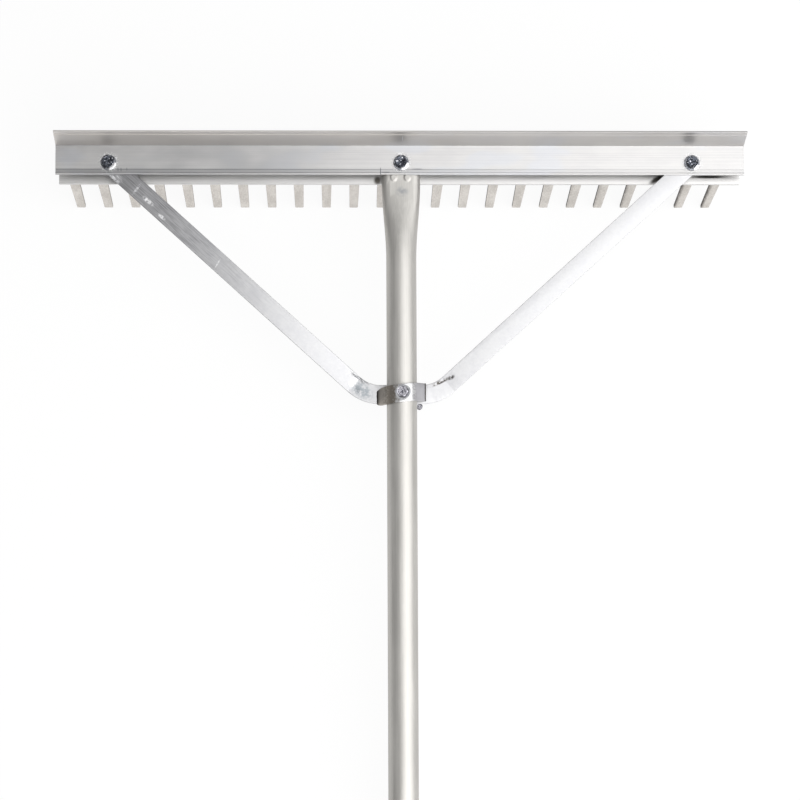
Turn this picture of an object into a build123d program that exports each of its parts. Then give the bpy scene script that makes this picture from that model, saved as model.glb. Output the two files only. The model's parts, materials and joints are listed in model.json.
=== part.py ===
"""Landscape rake: a wide aluminium head with flat blade teeth, braced to a long tube handle.

Millimetres, +Z up, +X along the head. The rake lies teeth down on level ground: it rests on the tips of
its teeth and on the end of its handle, which runs towards -Y. The origin is on the ground, below the middle
of the whole tool.

Places on the rake are given as (across, up, out): across runs along the head from its middle, up runs along
the handle towards the head from the line of the head bolts, and out stands away from the handle's axis,
square to the rake's face, towards the user.
"""
from build123d import *
from math import atan2, cos, radians, sin, tan
import os

# Head rail, an extrusion
head_length = 914.4
rail_wall = 2.5
front_wall_above_bolts = 22.8
front_wall_below_bolts = 16.2
lip_length = 34.0
lip_angle = 69.0
lip_edge_length = 7.0
lip_edge_step = 0.4
bead_height = 3.0
bead_swell = 0.8
groove_height = 4.4
groove_depth = 0.8
rear_flange_drop = 10.0
bead_round = 0.9
rail_edge_round = 0.4

# Tooth bar
tooth_bar_end_gap = 2.5
tooth_bar_thickness = 6.4
tooth_bar_overhang = 8.6

# Teeth
tooth_count = 24
first_tooth_from_end = 19.95
last_tooth_from_end = 31.55
tooth_root_width = 13.3
tooth_tip_width = 11.4
tooth_thickness = 4.0
tooth_edge_round = 0.4
tooth_free_length = 95.25
tooth_lean = 10.9
tooth_above_bar_edge = 4.0
socket_depth = 5.0
socket_clearance = 0.05
tip_round_mean = 1.5
tip_round_spread = 0.6
tip_round_step = 2.4

# Handle tube
handle_diameter = 40.0
handle_wall = 2.0
handle_length = 1676.4
flat_width = 51.3
flat_thickness = 20.2
flat_crown = 0.1
flat_length_below_wall = 6.0
flare_length = 108.0
flare_steps = 6
handle_top_gap = 3.3
channel_clearance = 0.1
clamp_flatness = 0.01
clamp_squeeze_reach = 16.0

# Grip plug
plug_cap_thickness = 4.0
plug_depth = 32.0
plug_clearance = 0.1
plug_wall = 3.0
plug_edge_round = 1.2

# Brace, one flat bar
outer_bolt_from_end = 69.85
brace_width = 25.4
brace_thickness = 3.2
bar_edge_round = 0.5
brace_corner_across = 48.0
brace_bend_radius = 52.0
brace_joggle_from_bolt = 46.0
brace_joggle_radius = 10.0

# Clamp strap
clamp_below_bolts = 306.0
strap_width = 24.0
strap_thickness = 2.5
strap_clearance = 0.1
strap_wrap = 67.0

# Hex fasteners, three eighths of an inch
bolt_diameter = 9.525
bolt_hole_clearance = 0.4
bolt_head_flats = 14.3
bolt_head_height = 6.2
bolt_end_chamfer = 0.8
hex_chamfer_angle = 30.0
hex_top_share = 0.96
head_bolt_length = 44.45
nut_height = 8.3
thread_clearance = 0.1
washer_diameter = 20.6
washer_thickness = 1.6
washer_edge_break = 0.3
spacer_diameter = 16.0

# Clamp bolt, which sits crooked
clamp_bolt_length = 101.6
clamp_bolt_across = 1.9
clamp_bolt_up = -0.8
clamp_bolt_turn = 14.6
clamp_bolt_dip = 7.2
clamp_hole_clearance = 0.3
clamp_seat_clearance = 0.05

# Places that follow from the sizes above
tooth_bar_length = head_length - 2 * tooth_bar_end_gap
first_tooth_across = first_tooth_from_end - tooth_bar_length / 2
last_tooth_across = tooth_bar_length / 2 - last_tooth_from_end
tooth_pitch = (last_tooth_across - first_tooth_across) / (tooth_count - 1)
tooth_row_middle = (first_tooth_across + last_tooth_across) / 2
outer_bolt_across = head_length / 2 - outer_bolt_from_end
handle_radius = handle_diameter / 2
channel_half = flat_thickness / 2 + channel_clearance
front_wall_out = channel_half + rail_wall
tooth_bar_back = channel_half + tooth_bar_thickness
tooth_bar_low = front_wall_below_bolts + tooth_bar_overhang
web_under = front_wall_above_bolts - rail_wall
handle_top = web_under - handle_top_gap
handle_low = handle_length - handle_top
flat_low = front_wall_below_bolts + flat_length_below_wall
round_low = flat_low + flare_length
tooth_root_up = tooth_above_bar_edge - tooth_bar_low
clamp_up = -clamp_below_bolts
bolt_columns = (-outer_bolt_across, 0, outer_bolt_across)
outer_columns = (-outer_bolt_across, outer_bolt_across)
bolt_hole_radius = bolt_diameter / 2 + bolt_hole_clearance
brace_top_out = channel_half - brace_thickness / 2
brace_clamp_out = -handle_radius - brace_thickness / 2
drill_start = front_wall_out + handle_diameter
drill_depth = drill_start + tooth_bar_back + handle_diameter

# Resting pose: the slope of the handle with tooth tips and grip end on the ground
tip_up = tooth_root_up - tooth_free_length * sin(radians(tooth_lean))
tip_up = tip_up + tooth_thickness / 2 * cos(radians(tooth_lean))
tip_out = -tooth_bar_back - tooth_free_length * cos(radians(tooth_lean))
tip_out = tip_out - tooth_thickness / 2 * sin(radians(tooth_lean))
grip_contact = handle_low - plug_edge_round
slope = atan2(-tip_out - handle_radius, grip_contact + tip_up)
axis_height = handle_radius * cos(slope) + grip_contact * sin(slope)
lip_rise = lip_length * cos(radians(lip_angle))
lip_reach = lip_length * sin(radians(lip_angle))
lip_top_up = front_wall_above_bolts + lip_rise + rail_wall * sin(radians(lip_angle))
lip_top_up = lip_top_up - rail_edge_round * (sin(radians(lip_angle)) + cos(radians(lip_angle)))
lip_top_out = front_wall_out + lip_reach - rail_wall * cos(radians(lip_angle))
lip_top_out = lip_top_out - rail_edge_round * (sin(radians(lip_angle)) - cos(radians(lip_angle)))
head_end = lip_top_up * cos(slope) - lip_top_out * sin(slope) + rail_edge_round
grip_end = -handle_low * cos(slope) - (handle_radius - plug_edge_round) * sin(slope)
middle = (head_end + grip_end) / 2

face = Plane(origin=(0, -middle, axis_height), x_dir=(1, 0, 0), z_dir=(0, -sin(slope), cos(slope)))


def at(across, up, out):
    """The point of the rake's own coordinates, in the model's frame."""
    return face.from_local_coords(Vector(across, up, out))


def toward(across, up, out):
    """The direction of the rake's own coordinates, in the model's frame."""
    return at(across, up, out) - at(0, 0, 0)


def facing_user(out):
    """Plane parallel to the rake's face, seen as the user sees it."""
    return Plane(origin=at(0, 0, out), x_dir=toward(1, 0, 0), z_dir=toward(0, 0, 1))


def across_head(across):
    """Plane that cuts the head: local x runs up the rake and local y out of it."""
    return Plane(origin=at(across, 0, 0), x_dir=toward(0, 1, 0), z_dir=toward(1, 0, 0))


def down_handle(up):
    """Plane that cuts the handle: local y runs out of the rake, and the normal runs to the grip end."""
    return Plane(origin=at(0, up, 0), x_dir=toward(1, 0, 0), z_dir=toward(0, -1, 0))

# Clamp bolt: in at the front of the strap, out at the back, to the right and towards the grip
strap_front = handle_radius + strap_clearance + strap_thickness
brace_back = -handle_radius - brace_thickness
bolt_in = toward(tan(radians(clamp_bolt_turn)), -tan(radians(clamp_bolt_dip)), -1).normalized()
bolt_tilt = radians(toward(0, 0, -1).get_angle(bolt_in))
clamp_entry = at(clamp_bolt_across, clamp_up + clamp_bolt_up, strap_front)
clamp_washer_seat = clamp_entry - bolt_in * (washer_diameter / 2 * tan(bolt_tilt) + clamp_seat_clearance)
clamp_head_seat = clamp_washer_seat - bolt_in * washer_thickness
nut_corner_radius = bolt_head_flats / 2 / cos(radians(30))
nut_lift = nut_corner_radius * tan(bolt_tilt) + clamp_seat_clearance
clamp_nut_seat = clamp_entry + bolt_in * ((strap_front - brace_back) / cos(bolt_tilt) + nut_lift)


def clamp_hole():
    """Outline of the clamp bolt's crooked hole, at the bolt's head."""
    with BuildSketch(Plane(origin=clamp_head_seat, x_dir=toward(1, 0, 0), z_dir=bolt_in)) as hole:
        Circle(bolt_diameter / 2 + clamp_hole_clearance)
    return hole.sketch


def head_holes(columns):
    """Outlines of the head bolts' clearance holes, in a plane well in front of the face."""
    with BuildSketch(facing_user(drill_start)) as holes:
        with Locations(*[(column, 0) for column in columns]):
            Circle(bolt_hole_radius)
    return holes.sketch


# Head rail: front wall with a beaded lower edge, levelling lip, web over the channel and short rear flange
lip_along = Vector(cos(radians(lip_angle)), sin(radians(lip_angle)))
lip_through = Vector(sin(radians(lip_angle)), -cos(radians(lip_angle)))
lip_fold = Vector(front_wall_above_bolts, front_wall_out)
lip_step = lip_fold + lip_along * (lip_length - lip_edge_length)
lip_end = lip_fold + lip_along * lip_length
lip_heel_out = front_wall_out - rail_wall / cos(radians(lip_angle))
bead_top = bead_height - front_wall_below_bolts
groove_top = bead_top + groove_height
rear_out = -tooth_bar_back - rail_wall
rear_flange_low = front_wall_above_bolts - rear_flange_drop

with BuildPart() as head_rail:
    with BuildSketch(across_head(-head_length / 2)) as rail_section:
        with BuildLine():
            Polyline(
                (-front_wall_below_bolts, channel_half),
                (-front_wall_below_bolts, front_wall_out + bead_swell),
                (bead_top, front_wall_out + bead_swell),
                (bead_top, front_wall_out - groove_depth),
                (groove_top, front_wall_out - groove_depth),
                (groove_top, front_wall_out),
                lip_fold,
                lip_step,
                lip_step + lip_through * lip_edge_step,
                lip_end + lip_through * lip_edge_step,
                lip_end + lip_through * rail_wall,
                (front_wall_above_bolts, lip_heel_out),
                (front_wall_above_bolts, rear_out),
                (rear_flange_low, rear_out),
                (rear_flange_low, -tooth_bar_back),
                (web_under, -tooth_bar_back),
                (web_under, channel_half),
                close=True,
            )
        make_face()
        fillet(rail_section.vertices().sort_by(Axis.Y)[:2], radius=rail_edge_round)
        fillet(rail_section.vertices().sort_by(Axis.Y)[-2:], radius=rail_edge_round)
        bead_corners = rail_section.vertices().filter_by_position(Axis.X, -front_wall_below_bolts, bead_top)
        fillet(bead_corners.group_by(Axis.Y)[-1], radius=bead_round)
    extrude(amount=head_length)
    extrude(head_holes(bolt_columns), amount=-drill_depth, mode=Mode.SUBTRACT)
head_rail.part.label = "head_rail"

# Tooth bar: flat bar at the back of the channel, with a blind socket for each tooth in its rear face
tooth_down = toward(0, -sin(radians(tooth_lean)), -cos(radians(tooth_lean)))
tooth_normal = toward(0, -cos(radians(tooth_lean)), sin(radians(tooth_lean)))


def tooth_root(column):
    """Where a tooth's middle line leaves the bar's rear face."""
    return at(column, tooth_root_up, -tooth_bar_back)


with BuildPart() as tooth_bar:
    with BuildSketch(across_head(-tooth_bar_length / 2)):
        with BuildLine():
            Polyline(
                (-tooth_bar_low, -channel_half),
                (web_under, -channel_half),
                (web_under, -tooth_bar_back),
                (-tooth_bar_low, -tooth_bar_back),
                close=True,
            )
        make_face()
    extrude(amount=tooth_bar_length)
    extrude(head_holes(bolt_columns), amount=-drill_depth, mode=Mode.SUBTRACT)
    socket_floor = Plane(
        origin=tooth_root(tooth_row_middle) - tooth_down * socket_depth,
        x_dir=toward(1, 0, 0),
        z_dir=tooth_down,
    )
    with BuildSketch(socket_floor):
        with GridLocations(tooth_pitch, 0, tooth_count, 1):
            Rectangle(tooth_root_width + 2 * socket_clearance, tooth_thickness + 2 * socket_clearance)
    extrude(amount=socket_depth + tooth_thickness, mode=Mode.SUBTRACT)
tooth_bar.part.label = "tooth_bar"


def make_tooth(index):
    """One flat blade, tapered to its tip, its two tip corners cut a little differently on each tooth."""
    root = tooth_root(first_tooth_across + index * tooth_pitch)
    blade_plane = Plane(origin=root, x_dir=toward(1, 0, 0), z_dir=tooth_normal)
    left_round = tip_round_mean + tip_round_spread * sin(tip_round_step * index)
    right_round = tip_round_mean + tip_round_spread * cos(tip_round_step * index)
    with BuildPart() as blade:
        with BuildSketch(blade_plane) as outline:
            with BuildLine():
                Polyline(
                    (-tooth_root_width / 2, socket_depth),
                    (-tooth_root_width / 2, 0),
                    (-tooth_tip_width / 2, -tooth_free_length),
                    (tooth_tip_width / 2, -tooth_free_length),
                    (tooth_root_width / 2, 0),
                    (tooth_root_width / 2, socket_depth),
                    close=True,
                )
            make_face()
            fillet(outline.vertices().group_by(Axis.Y)[0].sort_by(Axis.X)[0], radius=left_round)
            fillet(outline.vertices().group_by(Axis.Y)[0].sort_by(Axis.X)[-1], radius=right_round)
        extrude(amount=tooth_thickness / 2, both=True)
        fillet(blade.faces().sort_by(SortBy.AREA)[-2:].edges(), radius=tooth_edge_round)
    return blade


teeth = [make_tooth(index) for index in range(tooth_count)]
for number, tooth in enumerate(teeth, start=1):
    tooth.part.label = f"tooth_{number:02d}"


# Handle tube: flattened to go into the channel, flared to round below it, and squeezed a hair by the clamp
def tube_outline(up, flatness, inset):
    """Tube outline between round and flattened, as four arcs, with the wall taken off by inset."""
    def blend(when_round, when_flat):
        return when_round + (when_flat - when_round) * flatness

    corner = (handle_radius - inset) * sin(radians(45))
    corner_x = blend(corner, (flat_width - flat_thickness) / 2)
    corner_y = blend(corner, flat_thickness / 2 - inset - flat_crown)
    half_wide = blend(handle_radius, flat_width / 2) - inset
    half_thick = blend(handle_radius, flat_thickness / 2) - inset
    with BuildSketch(down_handle(up)) as outline:
        with BuildLine():
            ThreePointArc((-corner_x, corner_y), (0, half_thick), (corner_x, corner_y))
            ThreePointArc((corner_x, corner_y), (half_wide, 0), (corner_x, -corner_y))
            ThreePointArc((corner_x, -corner_y), (0, -half_thick), (-corner_x, -corner_y))
            ThreePointArc((-corner_x, -corner_y), (-half_wide, 0), (-corner_x, corner_y))
        make_face()
    return outline.sketch


def flare_outlines(inset):
    """Outlines down the flare, easing from flattened to round."""
    outlines = []
    for step in range(flare_steps + 1):
        share = step / flare_steps
        flatness = (1 + cos(share * radians(180))) / 2
        outlines.append(tube_outline(-flat_low - share * flare_length, flatness, inset))
    return outlines


def clamp_outlines(inset):
    """Outlines down the stretch that the clamp squeezes, round at both its ends."""
    squeezed = tube_outline(clamp_up, clamp_flatness, inset)
    return [tube_outline(squeeze_top, 0, inset), squeezed, tube_outline(squeeze_low, 0, inset)]


flat_run = handle_top + flat_low
squeeze_top = clamp_up + clamp_squeeze_reach
squeeze_low = clamp_up - clamp_squeeze_reach
neck_run = -round_low - squeeze_top
round_run = handle_low - plug_cap_thickness + squeeze_low

with BuildPart() as handle_tube:
    for inset, way in ((0, Mode.ADD), (handle_wall, Mode.SUBTRACT)):
        extrude(tube_outline(handle_top, 1, inset), amount=flat_run, mode=way)
        loft(flare_outlines(inset), mode=way)
        extrude(tube_outline(-round_low, 0, inset), amount=neck_run, mode=way)
        loft(clamp_outlines(inset), mode=way)
        extrude(tube_outline(squeeze_low, 0, inset), amount=round_run, mode=way)
    extrude(head_holes([0]), amount=-drill_depth, mode=Mode.SUBTRACT)
    extrude(clamp_hole(), amount=clamp_bolt_length, mode=Mode.SUBTRACT)
handle_tube.part.label = "handle_tube"

# Grip plug: moulded plug with a hollow skirt inside the tube and a cap flush with it
with BuildPart() as grip_plug:
    with BuildSketch(down_handle(-handle_low + plug_cap_thickness)):
        Circle(handle_radius)
    extrude(amount=plug_cap_thickness)
    cap_rim = grip_plug.edges().filter_by(GeomType.CIRCLE).sort_by(Axis.Y)[0]
    chamfer(cap_rim, length=plug_edge_round)
    with BuildSketch(down_handle(-handle_low + plug_cap_thickness)):
        Circle(handle_radius - handle_wall - plug_clearance)
        Circle(handle_radius - handle_wall - plug_clearance - plug_wall, mode=Mode.SUBTRACT)
    extrude(amount=-plug_depth)
grip_plug.part.label = "grip_plug"

# Brace: one flat bar, level behind the tube, with both ends inside the channel on the outer head bolts
leg_drop = clamp_below_bolts
leg_span = outer_bolt_across - brace_corner_across
leg_run = (leg_drop ** 2 + leg_span ** 2) ** 0.5
bend_angle = atan2(leg_drop, leg_span)
bend_run = brace_bend_radius * tan(bend_angle / 2)
leg_plane = Plane(
    origin=at(-outer_bolt_across, 0, 0),
    x_dir=toward(leg_span, -leg_drop, 0),
    z_dir=toward(-leg_drop, -leg_span, 0),
)

with BuildPart() as brace:
    with BuildSketch(facing_user(drill_start)):
        with BuildLine():
            FilletPolyline(
                (-outer_bolt_across, 0),
                (-brace_corner_across, clamp_up),
                (0, clamp_up),
                radius=brace_bend_radius,
            )
            offset(amount=brace_width / 2, side=Side.BOTH)
        make_face()
    extrude(amount=-drill_depth)
    with BuildSketch(leg_plane):
        with BuildLine():
            FilletPolyline(
                (-brace_width, brace_top_out),
                (brace_joggle_from_bolt, brace_top_out),
                (leg_run - bend_run, brace_clamp_out),
                (leg_run + outer_bolt_across, brace_clamp_out),
                radius=brace_joggle_radius,
            )
            offset(amount=brace_thickness / 2, side=Side.BOTH)
        make_face()
    extrude(amount=leg_run, both=True, mode=Mode.INTERSECT)
    mirror(about=across_head(0))
    fillet(brace.edges(), radius=bar_edge_round)
    extrude(head_holes(outer_columns), amount=-drill_depth, mode=Mode.SUBTRACT)
    extrude(clamp_hole(), amount=clamp_bolt_length, mode=Mode.SUBTRACT)
brace.part.label = "brace"

# Clamp strap: arched over the front of the tube, with straight legs back to the brace
strap_middle_radius = handle_radius + strap_clearance + strap_thickness / 2
wrap = radians(strap_wrap)
leg_end_run = (strap_middle_radius * cos(wrap) + handle_radius + strap_thickness) / sin(wrap)
leg_end_across = strap_middle_radius * sin(wrap) + leg_end_run * cos(wrap)
leg_end_out = strap_middle_radius * cos(wrap) - leg_end_run * sin(wrap)
arch_across = strap_middle_radius * sin(wrap)
arch_out = strap_middle_radius * cos(wrap)

with BuildPart() as clamp_strap:
    with BuildSketch(down_handle(clamp_up + strap_width / 2)):
        with BuildLine():
            Line((-leg_end_across, leg_end_out), (-arch_across, arch_out))
            ThreePointArc((-arch_across, arch_out), (0, strap_middle_radius), (arch_across, arch_out))
            Line((arch_across, arch_out), (leg_end_across, leg_end_out))
            offset(amount=strap_thickness / 2, side=Side.BOTH)
        make_face()
    extrude(amount=strap_width)
    strap_sides = clamp_strap.faces().sort_by(Axis.Y)
    fillet(strap_sides[0].edges() + strap_sides[-1].edges(), radius=bar_edge_round)
    split(bisect_by=facing_user(-handle_radius), keep=Keep.TOP)
    extrude(clamp_hole(), amount=clamp_bolt_length, mode=Mode.SUBTRACT)
clamp_strap.part.label = "clamp_strap"


# Fasteners
def hex_block(height, top_chamfer, bottom_chamfer):
    """Hexagonal block on the ground plane, its corners taken off towards the ends that are chamfered."""
    corner_drop = height / tan(radians(hex_chamfer_angle))
    small = bolt_head_flats / 2 * hex_top_share
    with BuildPart() as block:
        with BuildSketch():
            RegularPolygon(bolt_head_flats / 2, 6, major_radius=False)
        extrude(amount=height)
        if top_chamfer:
            with Locations((0, 0, height / 2)):
                Cone(small + corner_drop, small, height, mode=Mode.INTERSECT)
        if bottom_chamfer:
            with Locations((0, 0, height / 2)):
                Cone(small, small + corner_drop, height, mode=Mode.INTERSECT)
    return block.part


def hex_bolt(length):
    """Hex bolt, its head standing on the ground plane and its shank below."""
    with BuildPart() as bolt:
        add(hex_block(bolt_head_height, True, False))
        with BuildSketch():
            Circle(bolt_diameter / 2)
        extrude(amount=-length)
        chamfer(bolt.edges().filter_by(GeomType.CIRCLE).sort_by(Axis.Z)[0], length=bolt_end_chamfer)
    return bolt.part


def hex_nut():
    """Hex nut standing on the ground plane."""
    with BuildPart() as nut:
        add(hex_block(nut_height, True, True))
        with BuildSketch():
            Circle(bolt_diameter / 2 + thread_clearance)
        extrude(amount=nut_height, mode=Mode.SUBTRACT)
    return nut.part


def ring(outer_diameter, height):
    """Washer or sleeve standing on the ground plane."""
    with BuildPart() as body:
        with BuildSketch():
            Circle(outer_diameter / 2)
            Circle(bolt_hole_radius, mode=Mode.SUBTRACT)
        extrude(amount=height)
        outer_rims = body.edges().filter_by(GeomType.CIRCLE).sort_by(SortBy.RADIUS)[-2:]
        chamfer(outer_rims, length=washer_edge_break)
    return body.part


def seats(columns, out, turned=False):
    """Planes square to the head bolts at the given height, facing the user, or turned to the back."""
    direction = toward(0, 0, -1) if turned else toward(0, 0, 1)
    return [Plane(origin=at(column, 0, out), x_dir=toward(1, 0, 0), z_dir=direction) for column in columns]


rear_washer_back = tooth_bar_back + washer_thickness
sleeve_length = 2 * channel_half - brace_thickness

with BuildPart() as head_washers:
    with Locations(*seats(bolt_columns, front_wall_out)):
        add(ring(washer_diameter, washer_thickness))
head_washers.part.label = "head_washers"

with BuildPart() as head_bolts:
    with Locations(*seats(bolt_columns, front_wall_out + washer_thickness)):
        add(hex_bolt(head_bolt_length))
head_bolts.part.label = "head_bolts"

with BuildPart() as channel_spacers:
    with Locations(*seats(outer_columns, -channel_half)):
        add(ring(spacer_diameter, sleeve_length))
channel_spacers.part.label = "channel_spacers"

with BuildPart() as rear_washers:
    with Locations(*seats(bolt_columns, -tooth_bar_back, turned=True)):
        add(ring(washer_diameter, washer_thickness))
rear_washers.part.label = "rear_washers"

with BuildPart() as head_nuts:
    with Locations(*seats(bolt_columns, -rear_washer_back, turned=True)):
        add(hex_nut())
head_nuts.part.label = "head_nuts"

clamp_out_plane = Plane(origin=clamp_head_seat, x_dir=toward(1, 0, 0), z_dir=-bolt_in)

with BuildPart() as clamp_bolt:
    with Locations(clamp_out_plane):
        add(hex_bolt(clamp_bolt_length))
clamp_bolt.part.label = "clamp_bolt"

with BuildPart() as clamp_washer:
    with Locations(clamp_out_plane.offset(-washer_thickness)):
        add(ring(washer_diameter, washer_thickness))
clamp_washer.part.label = "clamp_washer"

with BuildPart() as clamp_nut:
    with Locations(Plane(origin=clamp_nut_seat, x_dir=toward(1, 0, 0), z_dir=bolt_in)):
        add(hex_nut())
clamp_nut.part.label = "clamp_nut"

os.makedirs("parts", exist_ok=True)
head_pieces = [head_rail, tooth_bar, *teeth, channel_spacers]
handle_pieces = [handle_tube, grip_plug, brace, clamp_strap]
fasteners = [head_bolts, head_washers, rear_washers, head_nuts, clamp_bolt, clamp_washer, clamp_nut]
for piece in head_pieces + handle_pieces + fasteners:
    export_step(piece.part, f"parts/{piece.part.label}.step")
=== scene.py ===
import json
from math import cos, pi, radians, sin, tan

import bpy
from mathutils import Matrix, Vector


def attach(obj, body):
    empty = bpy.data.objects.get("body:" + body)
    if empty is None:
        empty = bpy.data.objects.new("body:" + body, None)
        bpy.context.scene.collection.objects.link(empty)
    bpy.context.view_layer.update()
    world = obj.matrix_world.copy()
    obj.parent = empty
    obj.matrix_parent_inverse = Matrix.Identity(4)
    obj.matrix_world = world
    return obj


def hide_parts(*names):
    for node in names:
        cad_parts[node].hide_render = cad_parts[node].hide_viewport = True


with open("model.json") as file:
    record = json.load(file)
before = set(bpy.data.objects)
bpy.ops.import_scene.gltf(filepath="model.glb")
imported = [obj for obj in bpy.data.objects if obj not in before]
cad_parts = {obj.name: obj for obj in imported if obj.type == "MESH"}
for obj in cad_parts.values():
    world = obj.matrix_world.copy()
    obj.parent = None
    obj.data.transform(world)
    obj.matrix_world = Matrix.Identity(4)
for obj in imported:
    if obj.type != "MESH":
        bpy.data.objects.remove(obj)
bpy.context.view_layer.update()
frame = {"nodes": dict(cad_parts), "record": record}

# Camera: above the rake, which lies teeth down, looking almost straight down on its head. It is a 108 mm
# lens on a 36 mm sensor at 3.2 m, so that the picture's square frame takes in 1.07 m at the head.
bpy.ops.object.select_all(action="DESELECT")
bpy.ops.object.camera_add(
    location=(-0.0994, 0.0739, 3.2389),
    rotation=(radians(7.673), radians(-1.719), radians(-0.344)),
)
camera = bpy.context.object
camera.name = "view_from_above"
camera.data.lens = 108.0
camera.data.sensor_width = 36.0
camera.data.clip_end = 60.0
bpy.context.scene.camera = camera

# Floor: a wide sheet of matt white paper, laid flat under the whole tool. To the eye, and in bright metal,
# it is mostly an even white that keeps a faint shadow of the tool.


def linear(hex_colour):
    """The linear colour of an sRGB hex value such as D8D8D8."""
    parts = [int(hex_colour[place:place + 2], 16) / 255 for place in (0, 2, 4)]
    return [part / 12.92 if part <= 0.04045 else ((part + 0.055) / 1.055) ** 2.4 for part in parts] + [1.0]


def add_node(tree, kind, inputs, **settings):
    """Adds one shader node; an input is a value, or another node's socket that feeds it."""
    added = tree.nodes.new(kind)
    for name, value in settings.items():
        setattr(added, name, value)
    for socket, value in inputs.items():
        if isinstance(value, bpy.types.NodeSocket):
            tree.links.new(value, added.inputs[socket])
        else:
            added.inputs[socket].default_value = value
    return added


def new_finish(name):
    """A new material with its node tree, its Principled shader and the surface's Object coordinates."""
    material = bpy.data.materials.new(name)
    material.use_nodes = True
    tree = material.node_tree
    place = add_node(tree, "ShaderNodeTexCoord", {}).outputs["Object"]
    return material, tree, tree.nodes["Principled BSDF"], place


def wear(piece, material):
    """Gives the whole of a piece one material."""
    piece.data.materials.clear()
    piece.data.materials.append(material)


paper, tree, shader, place = new_finish("white_seamless_paper")
mottle = add_node(tree, "ShaderNodeTexNoise", {"Vector": place, "Scale": 25.0, "Detail": 3.0})
paper_tone = add_node(
    tree,
    "ShaderNodeMix",
    {"Factor": mottle.outputs["Fac"], 6: linear("F6F6F5"), 7: linear("F9F9F9")},
    data_type="RGBA",
)
tree.links.new(paper_tone.outputs[2], shader.inputs["Base Color"])
shader.inputs["Roughness"].default_value = 0.9
shader.inputs["Specular IOR Level"].default_value = 0.2
rays = add_node(tree, "ShaderNodeLightPath", {}).outputs
seen = rays["Is Camera Ray"]
for ray in ("Is Glossy Ray", "Is Transmission Ray"):
    seen = add_node(tree, "ShaderNodeMath", {0: seen, 1: rays[ray]}, operation="MAXIMUM").outputs[0]
evenness = 0.9
even_share = add_node(tree, "ShaderNodeMath", {0: seen, 1: evenness}, operation="MULTIPLY")
even_white = add_node(tree, "ShaderNodeEmission", {"Color": linear("FFFFFF"), "Strength": 1.0})
blend = add_node(
    tree,
    "ShaderNodeMixShader",
    {0: even_share.outputs[0], 1: shader.outputs["BSDF"], 2: even_white.outputs["Emission"]},
)
tree.links.new(blend.outputs["Shader"], tree.nodes["Material Output"].inputs["Surface"])

floor_half_width = 14.0
bpy.ops.mesh.primitive_plane_add(size=2 * floor_half_width, location=(0, 0, 0))
floor = bpy.context.object
floor.name = "paper_floor"
wear(floor, paper)

# Light: one wide softbox overhead that slants down to the right, in a grey room that is paler overhead
# than at its walls. The softbox's left edge makes the slow change from grey to white along the head. Where
# the camera looks past the paper it sees white.


def softbox(name, place, aim, along, across, watts):
    """A flat soft lamp that faces the point it is aimed at."""
    lamp = bpy.data.lights.new(name, "AREA")
    lamp.shape = "RECTANGLE"
    lamp.size = along
    lamp.size_y = across
    lamp.energy = watts
    holder = bpy.data.objects.new(name, lamp)
    bpy.context.scene.collection.objects.link(holder)
    holder.location = place
    holder.rotation_euler = (Vector(aim) - Vector(place)).to_track_quat("-Z", "Y").to_euler()
    return holder


softbox("slanted_softbox", (1.5, -0.95, 2.2), (0.06, -0.95, 0.0), 4.5, 4.0, 124.0)

room = bpy.data.worlds.new("grey_room")
room.use_nodes = True
tree = room.node_tree
way = add_node(tree, "ShaderNodeTexCoord", {}).outputs["Generated"]
height = add_node(tree, "ShaderNodeSeparateXYZ", {"Vector": way}).outputs["Z"]
overhead = add_node(
    tree,
    "ShaderNodeMapRange",
    {"Value": height, "From Min": 0.05, "From Max": 0.8},
    interpolation_type="SMOOTHSTEP",
)
room_tone = add_node(
    tree,
    "ShaderNodeMix",
    {"Factor": overhead.outputs["Result"], 6: linear("929292"), 7: linear("C6C6C6")},
    data_type="RGBA",
)
seen = add_node(tree, "ShaderNodeLightPath", {}).outputs["Is Camera Ray"]
backdrop = add_node(
    tree,
    "ShaderNodeMix",
    {"Factor": seen, 6: room_tone.outputs[2], 7: linear("FBFBFA")},
    data_type="RGBA",
)
tree.links.new(backdrop.outputs[2], tree.nodes["Background"].inputs["Color"])
tree.nodes["Background"].inputs["Strength"].default_value = 1.0
bpy.context.scene.world = room
bpy.context.scene.view_settings.view_transform = "Standard"

# Head rail: one aluminium extrusion, mill finish. The die leaves fine lines along its whole length, and
# handling leaves it cloudy, with scuffs round the bolts where the spanner and the washers turned.
mm = 0.001
mounts = {mount["name"]: mount for mount in frame["record"]["mounts"]}
up_way = -Vector(mounts["handle_tube_grip"]["axis"])
across_way = Vector((1, 0, 0))
out_way = across_way.cross(up_way)
top_face_across = 190.0
top_face_up = 22.8
top_face_out = -8.0


def toward(across, up, out):
    """Step in millimetres along the rake's own axes: along the head, up the handle, and out of its face."""
    return across * across_way + up * up_way + out * out_way


bolt_line = Vector(mounts["head_top_face"]["pos_m"]) - mm * toward(top_face_across, top_face_up, top_face_out)
rake_turn = Matrix((across_way, up_way, out_way)).transposed()


def on_rake(across, up, out):
    """The point of the rake's own axes, in millimetres from the middle of the head's bolt line."""
    return bolt_line + mm * toward(across, up, out)


def rake_place(tree, place):
    """The surface's place in the rake's own axes, in millimetres."""
    back = rake_turn.transposed()
    settings = {
        "Vector": place,
        "Scale": (1 / mm, 1 / mm, 1 / mm),
        "Rotation": back.to_euler(),
        "Location": back @ bolt_line / -mm,
    }
    return add_node(tree, "ShaderNodeMapping", settings).outputs["Vector"]


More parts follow.
